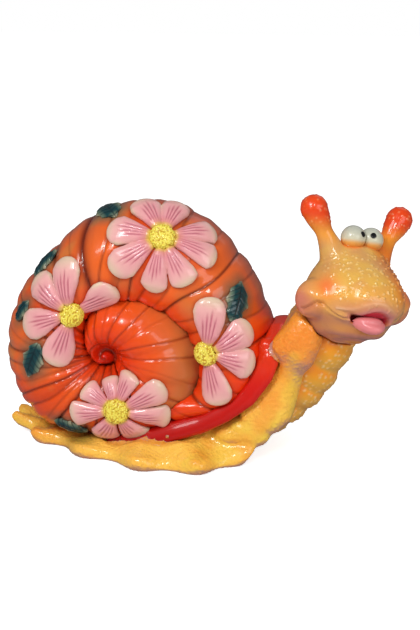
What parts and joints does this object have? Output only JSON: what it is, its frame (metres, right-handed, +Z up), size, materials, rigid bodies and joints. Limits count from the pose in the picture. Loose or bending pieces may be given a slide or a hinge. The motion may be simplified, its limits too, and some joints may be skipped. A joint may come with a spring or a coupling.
{
  "type": "snail figurine",
  "caption": "Painted garden snail ornament with a coiled flower-decked shell, a ruffled foot and a raised smiling head, for display on a flat surface.",
  "frame": {"origin": "centre of the bounding box's footprint, on the surface the foot rests on", "axes": "+X from the tail to the head, +Y across the shell to the far face, +Z up"},
  "size_m": [0.4081, 0.1996, 0.2659],
  "materials": {
    "shell": "airbrushed paint under clear gloss lacquer",
    "shell_lip": "airbrushed paint under clear gloss lacquer",
    "skirt": "airbrushed paint under clear gloss lacquer",
    "neck": "airbrushed paint under clear gloss lacquer",
    "face": "airbrushed paint under clear gloss lacquer",
    "lower_lip": "airbrushed paint under clear gloss lacquer",
    "eyeball": "airbrushed paint under clear gloss lacquer",
    "pupil": "airbrushed paint under clear gloss lacquer",
    "tentacle": "airbrushed paint under clear gloss lacquer",
    "petals": "airbrushed paint under clear gloss lacquer",
    "flower_centre": "airbrushed paint under clear gloss lacquer",
    "leaf": "airbrushed paint under clear gloss lacquer",
    "steel": "drawn wire"
  },
  "bodies": {
    "root": {"body_whorl": "shell", "eyeball_left": "eyeball", "eyeball_right": "eyeball", "flower_1_centre": "flower_centre", "flower_1_petals": "petals", "flower_2_centre": "flower_centre", "flower_2_petals": "petals", "flower_3_centre": "flower_centre", "flower_3_petals": "petals", "flower_4_centre": "flower_centre", "flower_4_petals": "petals", "flower_5_centre": "flower_centre", "flower_5_petals": "petals", "flower_6_centre": "flower_centre", "flower_6_petals": "petals", "flower_7_centre": "flower_centre", "flower_7_petals": "petals", "foot": "skirt", "head": "face", "leaf_1": "leaf", "leaf_2": "leaf", "leaf_3": "leaf", "leaf_4": "leaf", "leaf_5": "leaf", "leaf_6": "leaf", "leaf_7": "leaf", "leaf_8": "leaf", "leaf_9": "leaf", "lower_lip": "lower_lip", "mantle_collar": "skirt", "mantle_frill": "skirt", "neck": "neck", "neck_rod": "steel", "pupil_left": "pupil", "pupil_right": "pupil", "shell_lip": "shell_lip", "spire_whorl": "shell", "tentacle_left": "tentacle", "tentacle_right": "tentacle", "tentacle_wire_left": "steel", "tentacle_wire_right": "steel"}
  },
  "joints": []
}
